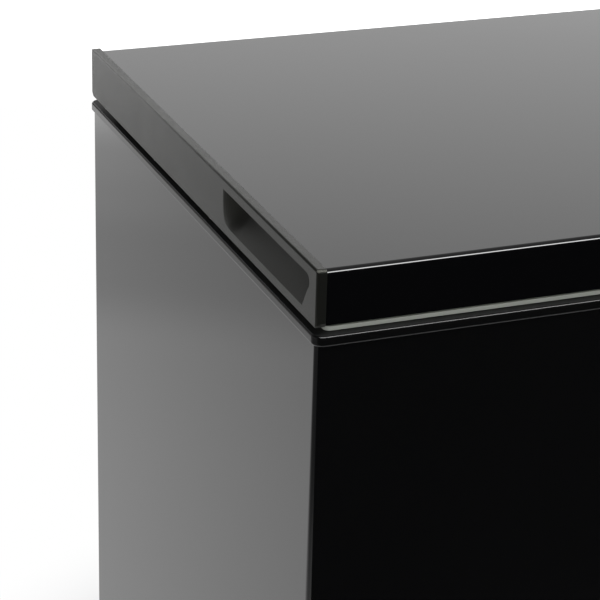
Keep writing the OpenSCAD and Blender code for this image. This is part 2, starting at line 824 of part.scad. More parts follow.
// knob with a finger bar and its shaft
module thermostat_knob() {
    base_y = dish_y - 0.4;
    color(dark_plastic) {
        difference() {
            translate([knob_x, base_y, panel_z]) rotate([90, 0, 0]) {
                cylinder(r = knob_r, h = 4);
                cylinder(r = knob_r - 2, h = dish_depth - 2);
            }
            for (side = [-1, 1])
                translate([knob_x + side * (knob_r / 2 + 4), base_y - dish_depth / 2 - 4, panel_z])
                    cube([knob_r, dish_depth, 3 * knob_r], center = true);
        }
        rod_y([knob_x, base_y + 8, panel_z], shaft_r, 18);
    }
}

module indicator_lamps() {
    colours = [[0.1, 0.7, 0.2], [0.9, 0.5, 0.1], [0.8, 0.1, 0.1]];
    for (i = [-1:1]) color(colours[i + 1])
        translate([lamp_x, panel_face - 0.6, panel_z + 14 * i]) rotate([-90, 0, 0]) {
            cylinder(r = 2.6, h = 16);
            translate([0, 0, 15]) cylinder(r = 4, h = 4);
        }
}

rocker_y = panel_face + 8;

module switch_housing() {
    color(black_plastic) difference() {
        translate([switch_x - switch_w / 2, panel_face, panel_z - switch_h / 2])
            cube([switch_w, 24, switch_h]);
        translate([switch_x - (switch_w - 4) / 2, panel_face - cut, panel_z - (switch_h - 3) / 2])
            cube([switch_w - 4, 19, switch_h - 3]);
        rod_x([switch_x, rocker_y, panel_z], 1.5 + run_clear, switch_w + 10);
    }
}

// rocker whose face is bent at the middle, on two short pivots
module fast_freeze_rocker() {
    w = switch_w - 4.8;
    h = switch_h - 4.4;
    tilt = rocker_angle / 2;
    color(dark_plastic) {
        translate([switch_x, rocker_y, panel_z]) rotate([0, 90, 0]) linear_extrude(w, center = true)
            intersection() {
                circle(r = h / 2 + 2.2);
                union() {
                    rotate([0, 0, 0]) translate([-h / 2, -7]) polygon([[0, -tilt / 6], [h / 2, 0.6],
                        [h, -tilt / 6], [h, 10], [0, 10]]);
                }
                square([h - 0.8, 30], center = true);
            }
        rod_x([switch_x, rocker_y, panel_z], 1.5, switch_w - 1);
    }
}

rocker_angle = 10;

// ---------- drain ----------

module drain_path(r) {
    pipe_run([[outlet_x, cab_front + 6, outlet_z], [outlet_x, cab_mid, outlet_z],
        [outlet_x, cab_mid, liner_floor]], r, 20);
}

module drain_tube() {
    color(white_plastic) difference() {
        drain_path(drain_r);
        drain_path(drain_bore);
        translate([outlet_x, cab_mid, liner_floor]) cylinder(r = drain_bore, h = 4, center = true);
        rod_y([outlet_x, cab_front + 6, outlet_z], drain_bore, 4);
    }
}

module drain_outlet() {
    color(black_plastic) difference() {
        union() {
            rod_y([outlet_x, cab_front - 0.5, outlet_z], outlet_r, 1);
            translate([outlet_x, cab_front, outlet_z]) rotate([-90, 0, 0])
                cylinder(r = outlet_r - 2, h = 14);
        }
        rod_y([outlet_x, cab_front + 20, outlet_z], drain_r, 32);
        translate([outlet_x, cab_front - 1 - cut, outlet_z]) rotate([-90, 0, 0])
            cylinder(r = drain_bore + 4, h = 6 + cut);
    }
}

module drain_cap() {
    color(dark_plastic) translate([outlet_x, cab_front - 1.5, outlet_z]) rotate([-90, 0, 0]) {
        cylinder(r = drain_bore + 3.6, h = 6.5);
        cylinder(r = drain_bore - run_clear, h = 20);
    }
}

module drain_plug() {
    stem = drain_bore - run_clear;
    color(white_plastic) translate([outlet_x, cab_mid, liner_floor]) {
        rotate_extrude()
            polygon([[0, -10], [stem, -10], [stem, 0.3], [14, 0.3], [14, 3.5], [0, 3.5]]);
        difference() {
            translate([-2, -9, 2]) cube([4, 18, 13]);
            rod_x([0, 0, 9.5], 4, 10);
        }
    }
}

// ---------- feet and rollers ----------

foot_x = cab_w / 2 - foot_side;
foot_y = cab_front + foot_front;
roller_y = cab_back - foot_front;
bracket_hole = 20;
bracket_t = 2;
bracket_w = roller_w + 2 * bracket_t + 1.2;

module front_feet() {
    color(black_plastic) for (side = [-1, 1]) translate([side * foot_x, foot_y, 0])
        rotate_extrude() {
            square([foot_r, 6]);
            polygon([[0, 6], [foot_r, 6], [foot_r - 5, base_h], [0, base_h]]);
            translate([0, base_h]) square([4.1, 12]);
        }
}

module roller_brackets() {
    plate_side = 2 * bracket_hole + 14;
    color(zinc) for (side = [-1, 1]) translate([side * foot_x, roller_y, 0]) difference() {
        union() {
            translate([0, 0, base_h - bracket_t / 2])
                cube([plate_side, plate_side, bracket_t], center = true);
            for (wing = [-1, 1])
                translate([wing * (bracket_w - bracket_t) / 2, 0, 0]) bracket_wing();
            for (dx = [-1, 1], dy = [-1, 1])
                translate([dx * bracket_hole, dy * bracket_hole, base_h - bracket_t])
                    cylinder(r = 2.2, h = bracket_t + sheet_t + 5);
        }
        rod_x([0, 0, roller_r], axle_r, 100);
    }
}

// wing of the bracket: a flat ear, rounded about the axle
module bracket_wing() {
    rotate([0, 90, 0]) linear_extrude(bracket_t, center = true) {
        translate([-roller_r, 0]) circle(r = 9);
        translate([-base_h + bracket_t / 2, -9]) square([base_h - roller_r - bracket_t / 2, 18]);
    }
}

module roller_axles() {
    color(zinc) for (side = [-1, 1]) {
        rod_x([side * foot_x, roller_y, roller_r], axle_r, bracket_w + 2);
        for (end = [-1, 1])
            rod_x([side * foot_x + end * (bracket_w / 2 + 1), roller_y, roller_r], axle_r + 2, 2);
    }
}

module roller(side) {
    groove = 2;
    color(black_plastic) translate([side * foot_x, roller_y, roller_r]) rotate([0, 90, 0])
        difference() {
            cylinder(r = roller_r, h = roller_w, center = true);
            cylinder(r = axle_r + run_clear, h = roller_w + 2, center = true);
            for (end = [-1, 1]) translate([0, 0, end * roller_w / 2]) difference() {
                cylinder(r = roller_r - 4, h = 2 * groove, center = true);
                cylinder(r = axle_r + 3, h = 2 * groove + 1, center = true);
            }
        }
}

module roller_left() {
    roller(-1);
}

module roller_right() {
    roller(1);
}

// ---------- basket ----------

basket_x = liner_w / 2 - basket_gap - basket_w / 2;
basket_d = liner_d - 2 * lip_t - 2 * basket_gap;
basket_top = ledge_z + 0.3 + rim_wire;
hang_y = liner_d / 2 + ledge_w / 2;

basket_low = basket_top - basket_h;
rim_bend = 10;
// neighbouring mats stop this far from each other
mat_gap = 0.2;
// crossing wires are pressed into each other by this much
weld = 1;
band_r = mesh_wire + 0.4;
mat_x = basket_w / 2 - rim_wire - mesh_wire - mat_gap;
mat_y = basket_d / 2 - rim_wire - mesh_wire - mat_gap;
band_out = mesh_wire + band_r - weld;

function even_places(length) =
    let (n = floor((length - 2 * rim_bend - 30) / mesh_pitch))
        [for (i = [0:n]) (i - n / 2) * mesh_pitch];

// welded mat along X: uprights, and bands on the side that faces -Y
module basket_mat(length, band_l) {
    for (x = concat([rim_bend - length / 2, length / 2 - rim_bend], even_places(length)))
        translate([x, 0, basket_low]) cylinder(r = mesh_wire, h = basket_h);
    for (k = [0:basket_bands])
        rod_x([0, -band_out, basket_low + band_r + k * (basket_h - 40) / basket_bands],
            band_r, band_l);
}

// four upright mats: two across the ends and two along the sides
module basket_walls() {
    color(white_plastic) translate([basket_x, cab_mid, 0]) for (side = [-1, 1]) {
        translate([0, side * mat_y, 0]) rotate([0, 0, side < 0 ? 0 : 180])
            basket_mat(basket_w, 2 * (mat_x + mesh_wire - weld - mat_gap));
        translate([side * mat_x, 0, 0]) rotate([0, 0, side * 90])
            basket_mat(basket_d, 2 * (mat_y + band_out + band_r));
    }
}

module basket_floor() {
    low_z = basket_low + band_r;
    color(white_plastic) translate([basket_x, cab_mid, 0]) {
        for (y = even_places(basket_d))
            rod_x([0, y, low_z + band_out], mesh_wire, 2 * (mat_x - mesh_wire - mat_gap));
        for (x = even_places(basket_w))
            rod_y([x, 0, low_z], band_r, 2 * (mat_y - mesh_wire - mat_gap));
    }
}

// rim wire, with the two hangers that rest on the frame's ledge
module basket_rim() {
    x = basket_w / 2;
    y = basket_d / 2;
    z = basket_top;
    color(white_plastic) translate([basket_x, cab_mid, 0]) {
        pipe_run([[0, -y, z], [x, -y, z], [x, y, z], [-x, y, z], [-x, -y, z], [0, -y, z]],
            rim_wire, rim_bend);
        for (side = [-1, 1])
            pipe_run([[-x / 2, side * (y - 1), z], [-x / 2, side * hang_y, z],
                [x / 2, side * hang_y, z], [x / 2, side * (y - 1), z]], rim_wire - 0.4, 9);
    }
}

// ---------- lid ----------

// section of the lid's skin in depth and height, grown outwards
module skin_outline(shrink) {
    r = fold_r - shrink;
    y0 = skin_front + shrink;
    y1 = skin_back - shrink;
    z1 = top_h - shrink;
    translate([y0, skin_low + shrink]) square([y1 - y0, z1 - r - skin_low - shrink]);
    translate([y0 + r, skin_low + shrink]) square([y1 - y0 - 2 * r, z1 - skin_low - shrink]);
    for (y = [y0 + r, y1 - r]) translate([y, z1 - r]) circle(r = r);
}

// stands a section drawn in depth and height along X
module along_x(x0, x1) {
    translate([x0, 0, 0]) rotate([90, 0, 90]) linear_extrude(x1 - x0) children();
}

module lid_outer_skin() {
    reach = skin_x - slack;
    color(black_steel) difference() {
        along_x(-reach, reach) difference() {
            skin_outline(0);
            skin_outline(skin_t);
            translate([skin_front + hem_front, skin_low - cut])
                square([skin_back - hem_back - skin_front - hem_front, skin_t + 2 * cut]);
        }
        leaf_screw_holes();
        cap_screw_holes();
    }
}

// the end cap's envelope: three outlines that meet
module cap_envelope() {
    high = cap_high - cap_low;
    reach = cap_wall + cap_border;
    x0 = -lid_w / 2;
    intersection() {
        // along the lid, with rounded outer edges
        translate([0, front_y - cut, 0]) rotate([-90, 0, 0]) linear_extrude(lid_d + 2 * cut)
            mirror([0, 1]) {
                translate([x0 + cap_r, cap_low]) square([reach - cap_r, high]);
                translate([x0, cap_low + cap_r]) square([reach, high - 2 * cap_r]);
                for (z = [cap_low + cap_r, cap_high - cap_r])
                    translate([x0 + cap_r, z]) circle(r = cap_r);
            }
        // from above, with rounded upright edges
        translate([0, 0, cap_low - cut]) linear_extrude(high + 2 * cut) {
            translate([x0 + cap_r, front_y]) square([reach - cap_r, lid_d]);
            translate([x0, front_y + cap_r]) square([reach, lid_d - 2 * cap_r]);
            for (y = [front_y + cap_r, lid_back - cap_r])
                translate([x0 + cap_r, y]) circle(r = cap_r);
        }
        // from the side, with the heel at the lower back corner
        along_x(x0 - cut, x0 + reach + cut) {
            translate([front_y + cap_nose_r, cap_low])
                square([lid_d - cap_nose_r - cap_heel_r, high - cap_r]);
            translate([front_y, cap_low + cap_nose_r]) square([cap_nose_r, high - 2 * cap_nose_r]);
            translate([lid_back - cap_heel_r, cap_low + cap_heel_r])
                square([cap_heel_r, high - cap_heel_r - cap_r]);
            translate([front_y + cap_nose_r, cap_high - cap_r])
                square([lid_d - cap_nose_r - cap_r, cap_r]);
            translate([front_y + cap_nose_r, cap_low + cap_nose_r]) circle(r = cap_nose_r);
            translate([front_y + cap_nose_r, cap_high - cap_nose_r]) circle(r = cap_nose_r);
            translate([lid_back - cap_r, cap_high - cap_r]) circle(r = cap_r);
            translate([lid_back - cap_heel_r, cap_low + cap_heel_r]) circle(r = cap_heel_r);
        }
    }
}

// share of the scoop's depth along the lid: full, then an S-shaped rise at the rear end
function scoop_run(t) = (1 + cos(180 * t)) / 2;
// share of the scoop's depth from its lower edge to its ceiling: a quarter of a sine
function scoop_rise(v) = sin(90 * v);

// stations of the scoop's surface along the lid and up it
run_steps = 14;
rise_steps = 12;
// the surface starts this far outside the face, so that it cuts through it cleanly
scoop_lead = 0.4;

// smooth inner surface of the scoop, closed outside the lid's face
module scoop_pocket(x0, y0, y1, low_z, edge_z, grow) {
    out_x = x0 - 3 * cut;
    runs = concat([[y0 - cut, 1]],
        [for (i = [0:run_steps]) let (t = i / run_steps) [y1 - grip_ramp * (1 - t), scoop_run(t)]],
        [[y1 + grow + cut, 0]]);
    rises = concat([[low_z - grow - cut, 0]],
        [for (j = [0:rise_steps]) let (v = j / rise_steps) [low_z + grip_h * v, scoop_rise(v)]],
        [[edge_z + grow + cut, 1]]);
    rows = len(runs);
    cols = len(rises);
    function place(i, j) = [x0 + grow - scoop_lead + (grip_depth + scoop_lead) * runs[i][1]
        * rises[j][1], runs[i][0], rises[j][0]];
    surface = [for (i = [0:rows - 1], j = [0:cols - 1]) place(i, j)];
    corners = [for (i = [0, rows - 1], j = [0, cols - 1]) [out_x, runs[i][0], rises[j][0]]];
    n = rows * cols;
    polyhedron(points = concat(surface, corners), faces = concat(
        [for (i = [0:rows - 2], j = [0:cols - 2]) let (k = i * cols + j)
            each [[k, k + 1, k + cols], [k + 1, k + cols + 1, k + cols]]],
        [concat([n, n + 1], [for (j = [cols - 1:-1:0]) j])],
        [concat([n + 3, n + 2], [for (j = [0:cols - 1]) (rows - 1) * cols + j])],
        [concat([n + 2, n], [for (i = [0:rows - 1]) i * cols])],
        [concat([n + 1, n + 3], [for (i = [rows - 1:-1:0]) i * cols + cols - 1])],
        [[n, n + 2, n + 3, n + 1]]));
}

// the finger scoop on the left side: a sloping floor, a flat ceiling and a slanted front end
module grip_scoop(grow) {
    x0 = -lid_w / 2;
    edge_z = top_h - grip_drop + grow;
    low_z = top_h - grip_drop - grip_h;
    y0 = front_y + grip_front - grow;
    y1 = front_y + grip_front + grip_l;
    c = grip_corner_r + grow;
    intersection() {
        scoop_pocket(x0, y0, y1, low_z, edge_z - grow, grow);
        // outline seen from the side
        along_x(x0 - 2 * cut, x0 + grip_depth + grow + cut) {
            translate([y0 + c, edge_z - c]) circle(r = c);
            translate([y0 + c, edge_z - c]) square([y1 - y0 - c + grow, c]);
            polygon([[y0, edge_z - c], [y1 + grow, edge_z - c], [y1 + grow, low_z - grow],
                [y0 + grip_slant, low_z - grow]]);
        }
    }
}

module lid_cap() {
    difference() {
        union() {
            difference() {
                cap_envelope();
                along_x(-skin_x, 0) skin_outline(0);
            }
            intersection() {
                grip_scoop(grip_wall);
                translate([-lid_w / 2 + cap_wall - 0.01, front_y, skin_low + skin_t])
                    cube([60, lid_d, lid_edge_h - 2 * skin_t]);
            }
        }
        grip_scoop(0);
        cap_screw_holes();
    }
}

module lid_cap_left() {
    color(dark_plastic) lid_cap();
}

module lid_cap_right() {
    color(dark_plastic) mirror([1, 0, 0]) lid_cap();
}

// screws from below the cap, behind the scoop, at these distances from the lid's front
first_cap_screw = grip_front + grip_l + 35;
last_cap_screw = lid_d - 40;
cap_screw_places = [first_cap_screw, (first_cap_screw + last_cap_screw) / 2, last_cap_screw];

module cap_screw_holes() {
    for (side = [-1, 1], y = cap_screw_places)
        translate([side * (lid_w / 2 - cap_wall - cap_border / 2), front_y + y, cap_low - cut])
            cylinder(r = 1.8, h = 14 + cut);
}

module cap_screws() {
    color(zinc) for (side = [-1, 1], y = cap_screw_places)
        translate([side * (lid_w / 2 - cap_wall - cap_border / 2), front_y + y, cap_low]) {
            translate([0, 0, -1.6]) cylinder(r = 3.4, h = 1.6);
            cylinder(r = 1.75, h = 12);
        }
}

// inner panel of the lid: a flange above the hem and a shallow tray inside the gasket
tray_side = seal_side + seal_w + 4;
tray_front = seal_front + seal_w + 4;
tray_back = seal_back + seal_w + 4;
tray_w = lid_w - 2 * tray_side;
tray_d = lid_d - tray_front - tray_back;
tray_mid = front_y + tray_front + tray_d / 2;
tray_r = 24;
liner_low = skin_low + skin_t;

module lid_liner() {
    reach_x = 2 * (skin_x - slack);
    y0 = skin_front + skin_t + slack;
    y1 = skin_back - skin_t - slack;
    slope = tray_h + skin_t;
    color(white_plastic) difference() {
        union() {
            translate([-reach_x / 2, y0, liner_low]) cube([reach_x, y1 - y0, lid_liner_t]);
            translate([0, tray_mid, 0]) rim_sweep(tray_w, tray_d, tray_r)
                polygon([[tray_r - slope - lid_liner_t, skin_low - tray_h],
                    [tray_r - slope, skin_low - tray_h], [tray_r, liner_low],
                    [tray_r, liner_low + lid_liner_t],
                    [tray_r - slope - lid_liner_t, skin_low - tray_h + lid_liner_t]]);
            plate(tray_w - 2 * slope - 2 * lid_liner_t, tray_d - 2 * slope - 2 * lid_liner_t,
                tray_r - slope - lid_liner_t, skin_low - tray_h, liner_low + lid_liner_t, tray_mid);
        }
        translate([0, tray_mid, 0]) difference() {
            plate(tray_w, tray_d, tray_r, skin_low - tray_h + lid_liner_t,
                liner_low + lid_liner_t + cut, 0);
            rim_sweep(tray_w, tray_d, tray_r)
                polygon([[tray_r - slope - lid_liner_t, skin_low - tray_h - cut],
                    [tray_r + cut, skin_low - tray_h - cut],
                    [tray_r + cut, liner_low + lid_liner_t + 2 * cut],
                    [tray_r, liner_low + lid_liner_t + 2 * cut],
                    [tray_r, liner_low + lid_liner_t],
                    [tray_r - slope - lid_liner_t, skin_low - tray_h + lid_liner_t]]);
        }
        leaf_screw_holes();
        cap_screw_holes();
    }
}

module lid_foam() {
    low = liner_low + lid_liner_t;
    color(foam_yellow) difference() {
        along_x(-skin_x, skin_x) intersection() {
            skin_outline(skin_t);
            translate([skin_front, low]) square([lid_d, lid_edge_h]);
        }
        grip_scoop(grip_wall);
        mirror([1, 0, 0]) grip_scoop(grip_wall);
        leaf_screw_holes();
        cap_screw_holes();
    }
}

// ring that follows the gasket between two distances from its outer edge
module seal_ring(out, width, z0, z1) {
    w = lid_w - 2 * seal_side - 2 * out;
    d = lid_d - seal_front - seal_back - 2 * out;
    mid = front_y + (seal_front + lid_d - seal_back) / 2;
    difference() {
        plate(w, d, 6, z0, z1, mid);
        plate(w - 2 * width, d - 2 * width, 3, z0 - cut, z1 + cut, mid);
    }
}

module lid_gasket() {
    low = frame_top + seal_clear;
    color(gasket_grey) {
        // foot under the lid, bellows waist, magnet chamber on the frame
        seal_ring(0, seal_w, skin_low - 2, skin_low);
        seal_ring(3, seal_w - 6, low + 3, skin_low - 2);
        seal_ring(0, seal_w, low, low + 3.6);
        // arrow that snaps in between the hem and the inner panel
        seal_ring(hem_front + cap_lip - seal_front + 0.5, 3, skin_low, liner_low);
    }
}

// ---------- hinges ----------

hinge_screw_dx = hinge_w / 2 + 8;
hinge_screw_dz = [30, 110];
leaf_y0 = lid_back - 32;
leaf_screw_dx = leaf_w / 2 - 9;

module at_hinge(side) {
    translate([side * hinge_x, 0, 0]) children();
}

module hinge_screw_holes() {
    for (side = [-1, 1], dx = [-1, 1], dz = hinge_screw_dz)
        rod_y([side * hinge_x + dx * hinge_screw_dx, cab_back, housing_low + dz], 2.3, 34);
}

module leaf_screw_holes() {
    for (side = [-1, 1], dx = [-1, 0, 1])
        translate([side * hinge_x + dx * leaf_screw_dx, lid_back - 16, skin_low - 10])
            cylinder(r = 2.3, h = 32);
}

// box that holds the spring and plunger, with two ears for the pin
module hinge_housing(side) {
    cavity_low = housing_low + hinge_t;
    inner_w = hinge_w - 2 * hinge_t;
    color(zinc) at_hinge(side) difference() {
        union() {
            translate([-hinge_w / 2, cab_back, housing_low])
                cube([hinge_w, hinge_d - cover_gap, housing_top - housing_low]);
            // flange against the cabinet
            translate([0, cab_back, housing_low + 70]) rotate([-90, 0, 0])
                linear_extrude(hinge_t) rounded_rect(hinge_w + 32, 110, 6);
            for (ear = [-1, 1])
                rod_x_flat(ear * (hinge_w - hinge_t) / 2);
        }
        translate([-inner_w / 2, cab_back + hinge_t, cavity_low])
            cube([inner_w, hinge_d - 2 * hinge_t - cover_gap, hinge_h]);
        rod_x([0, pin_y, pin_z], pin_r, hinge_w + 10);
        for (dx = [-1, 1], dz = hinge_screw_dz)
            rod_y([dx * hinge_screw_dx, cab_back, housing_low + dz], 2.3, 34);
    }
}

cover_gap = cover_t + 0.4;

// one ear: a flat wall that rises to the pin and is rounded about it
module rod_x_flat(x) {
    translate([x - hinge_t / 2, 0, 0]) rotate([90, 0, 90]) linear_extrude(hinge_t) {
        translate([pin_y, pin_z]) circle(r = ear_r);
        translate([pin_y - ear_r, housing_top - 10]) square([2 * ear_r, pin_z - housing_top + 10]);
    }
}

module hinge_housing_left() {
    hinge_housing(-1);
}

module hinge_housing_right() {
    hinge_housing(1);
}

// leaf under the lid, its knuckle round the pin and the eccentric cam
module hinge_leaf(side) {
    color(zinc) at_hinge(side) difference() {
        union() {
            translate([-leaf_w / 2, leaf_y0, skin_low - leaf_t])
                cube([leaf_w, lid_back - leaf_y0 - 1, leaf_t]);
            translate([-cam_w / 2, lid_back - 2, skin_low - leaf_t])
                cube([cam_w, pin_y - lid_back + 2, leaf_t]);
            rod_x([0, pin_y, pin_z], knuckle_r, cam_w);
            rod_x([0, pin_y + cam_y, pin_z + cam_z], cam_r, cam_w);
        }
        rod_x([0, pin_y, pin_z], pin_r + run_clear, cam_w + 10);
        for (dx = [-1, 0, 1])
            translate([dx * leaf_screw_dx, lid_back - 16, skin_low - 10])
                cylinder(r = 2.3, h = 32);
    }
}

module hinge_leaf_left() {
    hinge_leaf(-1);
}

module hinge_leaf_right() {
    hinge_leaf(1);
}

module hinge_pin(side) {
    color(zinc) at_hinge(side) {
        rod_x([0, pin_y, pin_z], pin_r, hinge_w + 3);
        for (end = [-1, 1])
            rod_x([end * (hinge_w / 2 + 0.8), pin_y, pin_z], pin_r + 1.6, 1.6);
    }
}

module hinge_pin_left() {
    hinge_pin(-1);
}

module hinge_pin_right() {
    hinge_pin(1);
}

module hinge_plunger(side) {
    head_w = hinge_w - 2 * hinge_t - 2 * slide_clear;
    head_d = hinge_d - cover_gap - 2 * hinge_t - 2 * slide_clear;
    mid = cab_back + (hinge_d - cover_gap) / 2;
    color(dark_plastic) at_hinge(side) {
        translate([-head_w / 2, mid - head_d / 2, plunger_top - plunger_h])
            cube([head_w, head_d, plunger_h]);
        translate([0, mid, plunger_top - plunger_h - stem_h])
            cylinder(r = spring_r - spring_wire - 0.8, h = stem_h + 1);
    }
}

module hinge_plunger_left() {
    hinge_plunger(-1);
}

module hinge_plunger_right() {
    hinge_plunger(1);
}

// coil spring: rings of a hexagonal wire section along a helix
module hinge_spring(side) {
    low = spring_low + spring_wire;
    high = spring_high - spring_wire;
    steps = 12 * spring_turns;
    sides = 6;
    mid = cab_back + (hinge_d - cover_gap) / 2;
    points = [for (i = [0:steps], k = [0:sides - 1])
        let (a = 360 * spring_turns * i / steps, b = 360 * k / sides,
            r = spring_r + spring_wire * cos(b))
            [r * cos(a), r * sin(a), low + (high - low) * i / steps + spring_wire * sin(b)]];
    walls = [for (i = [0:steps - 1], k = [0:sides - 1]) each
        let (n = (k + 1) % sides, a = i * sides, b = (i + 1) * sides)
            [[a + k, a + n, b + n], [a + k, b + n, b + k]]];
    ends = [[for (k = [sides - 1:-1:0]) k], [for (k = [0:sides - 1]) steps * sides + k]];
    color(zinc) at_hinge(side) translate([0, mid, 0])
        polyhedron(points = points, faces = concat(walls, ends), convexity = 10);
}

module hinge_spring_left() {
    hinge_spring(-1);
}

module hinge_spring_right() {
    hinge_spring(1);
}

// plastic cover clipped over the housing's back and sides
module hinge_cover(side) {
    w = hinge_w + 2 * cover_gap;
    low = housing_low + 12;
    high = housing_top - 4;
    color(black_plastic) at_hinge(side) difference() {
        translate([-w / 2, cab_back + hinge_t + slack, low])
            cube([w, hinge_d - hinge_t - slack, high - low]);
        translate([-w / 2 + cover_t, cab_back, low - cut])
            cube([w - 2 * cover_t, hinge_d - cover_t, high - low + 2 * cut]);
    }
}

module hinge_cover_left() {
    hinge_cover(-1);
}

module hinge_cover_right() {
    hinge_cover(1);
}

module hinge_cabinet_screws() {
    color(zinc) for (side = [-1, 1], dx = [-1, 1], dz = hinge_screw_dz)
        translate([side * hinge_x + dx * hinge_screw_dx, cab_back + hinge_t, housing_low + dz])
            rotate([90, 0, 0]) {
                translate([0, 0, -2.4]) cylinder(r = 4.4, h = 2.4);
                cylinder(r = 2.2, h = 18);
            }
}

module hinge_lid_screws() {
    color(zinc) for (side = [-1, 1], dx = [-1, 0, 1])
        translate([side * hinge_x + dx * leaf_screw_dx, lid_back - 16, skin_low - leaf_t]) {
            translate([0, 0, -2]) cylinder(r = 4.2, h = 2);
            cylinder(r = 2.2, h = 20);
        }
}

outer_wrapper();
back_panel();
base_pan();
inner_liner();
cabinet_foam();
top_frame();
bay_partition();
evaporator_tube();
condenser_tube();
compressor_lower_shell();
compressor_upper_shell();
compressor_base_plate();
compressor_grommets();
compressor_bolts();
relay_box();
suction_pipe();
discharge_pipe();
drier_filter();
side_grille();
compressor_cover();
control_bezel();
thermostat_body();
thermostat_knob();
indicator_lamps();
switch_housing();
fast_freeze_rocker();
drain_outlet();
drain_tube();
drain_plug();
drain_cap();
cord_gland();
front_feet();
roller_brackets();
roller_axles();
roller_left();
roller_right();
basket_rim();
basket_walls();
basket_floor();
lid_outer_skin();
lid_cap_left();
lid_cap_right();
lid_liner();
lid_foam();
lid_gasket();
cap_screws();
hinge_housing_left();
hinge_housing_right();
hinge_leaf_left();
hinge_leaf_right();
hinge_pin_left();
hinge_pin_right();
hinge_plunger_left();
hinge_plunger_right();
hinge_spring_left();
hinge_spring_right();
hinge_cover_left();
hinge_cover_right();
hinge_cabinet_screws();
hinge_lid_screws();
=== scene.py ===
import math

import bmesh
import bpy
from mathutils import Matrix, Vector


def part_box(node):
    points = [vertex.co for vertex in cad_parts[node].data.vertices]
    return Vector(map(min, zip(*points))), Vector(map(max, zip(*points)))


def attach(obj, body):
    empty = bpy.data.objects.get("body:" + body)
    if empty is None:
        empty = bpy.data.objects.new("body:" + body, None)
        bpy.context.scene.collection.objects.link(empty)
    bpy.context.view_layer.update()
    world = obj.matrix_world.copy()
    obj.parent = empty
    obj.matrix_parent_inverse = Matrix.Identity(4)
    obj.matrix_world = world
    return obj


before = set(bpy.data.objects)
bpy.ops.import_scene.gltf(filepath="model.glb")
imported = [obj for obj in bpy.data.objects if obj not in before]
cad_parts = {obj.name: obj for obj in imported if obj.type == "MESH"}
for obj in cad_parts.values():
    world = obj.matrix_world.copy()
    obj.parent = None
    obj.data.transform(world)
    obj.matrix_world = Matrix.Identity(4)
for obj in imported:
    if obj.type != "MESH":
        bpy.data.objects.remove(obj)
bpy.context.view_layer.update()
scene = bpy.context.scene

# ---------- studio ----------
# A product table: a pale matt floor that runs out to plain white, with a painted pool of light in
# its reflections that dims to the left; soft boxes above, at the left and in front; a bright strip
# seen only in reflections that paints a highlight along the fold of the lid; and a black card seen
# only in reflections, a painted dark reflection that keeps the gloss front dark.

cap_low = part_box("lid_cap_left")[0]
sheet_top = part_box("lid_outer_skin")[1].z
camera_place = Vector((cap_low.x - 0.5918, cap_low.y - 1.4250, sheet_top + 0.6415))
turned, tipped, rolled = math.radians(22.094), math.radians(23.283), math.radians(1.732)
ahead = Vector((math.sin(turned) * math.cos(tipped), math.cos(turned) * math.cos(tipped),
                -math.sin(tipped)))
level = ahead.cross(Vector((0, 0, 1))).normalized()
upright = level.cross(ahead)
right = level * math.cos(rolled) + upright * math.sin(rolled)
up = upright * math.cos(rolled) - level * math.sin(rolled)
camera = bpy.data.objects.new("camera", bpy.data.cameras.new("camera"))
camera.data.sensor_width = 36
camera.data.lens = 132.64
camera.data.clip_start, camera.data.clip_end = 0.05, 60
camera.matrix_world = Matrix((
    (right.x, up.x, -ahead.x, camera_place.x),
    (right.y, up.y, -ahead.y, camera_place.y),
    (right.z, up.z, -ahead.z, camera_place.z),
    (0, 0, 0, 1)))
scene.collection.objects.link(camera)
scene.camera = camera
scene.view_settings.view_transform = "Standard"


def soft_box(name, place, aim, width, height, power, tint, in_gloss):
    lamp = bpy.data.lights.new(name, "AREA")
    lamp.shape, lamp.size, lamp.size_y = "RECTANGLE", width, height
    lamp.energy, lamp.color = power, tint
    holder = bpy.data.objects.new(name, lamp)
    holder.location = place
    holder.rotation_euler = (Vector(aim) - Vector(place)).to_track_quat("-Z", "Y").to_euler()
    holder.visible_glossy = in_gloss
    scene.collection.objects.link(holder)


soft_box("overhead_box", (0.1, -1.1, 2.5), (0, -0.1, 0.8), 2.6, 0.8, 26, (1, 1, 1), False)
soft_box("left_fill", (-2.4, 0.2, 1.9), (-0.2, 0, 0.5), 1.8, 1.4, 14, (1, 0.99, 0.97), False)
soft_box("front_fill", (-0.4, -2.6, 0.9), (0, -0.3, 0.7), 1.6, 1.0, 22, (1, 1, 1), False)


def grey_stops(ramp, stops):
    while len(ramp.elements) < len(stops):
        ramp.elements.new(0.5)
    for element, (at, grey) in zip(ramp.elements, stops):
        element.position, element.color = at, (grey, grey, grey, 1)


def sees_background(nodes, links):
    path = nodes.new("ShaderNodeLightPath")
    both = nodes.new("ShaderNodeMath")
    both.operation = "ADD"
    links.new(path.outputs["Is Camera Ray"], both.inputs[0])
    links.new(path.outputs["Is Glossy Ray"], both.inputs[1])
    every = nodes.new("ShaderNodeMath")
    every.operation, every.use_clamp = "ADD", True
    links.new(both.outputs[0], every.inputs[0])
    links.new(path.outputs["Is Transmission Ray"], every.inputs[1])
    return every.outputs[0]


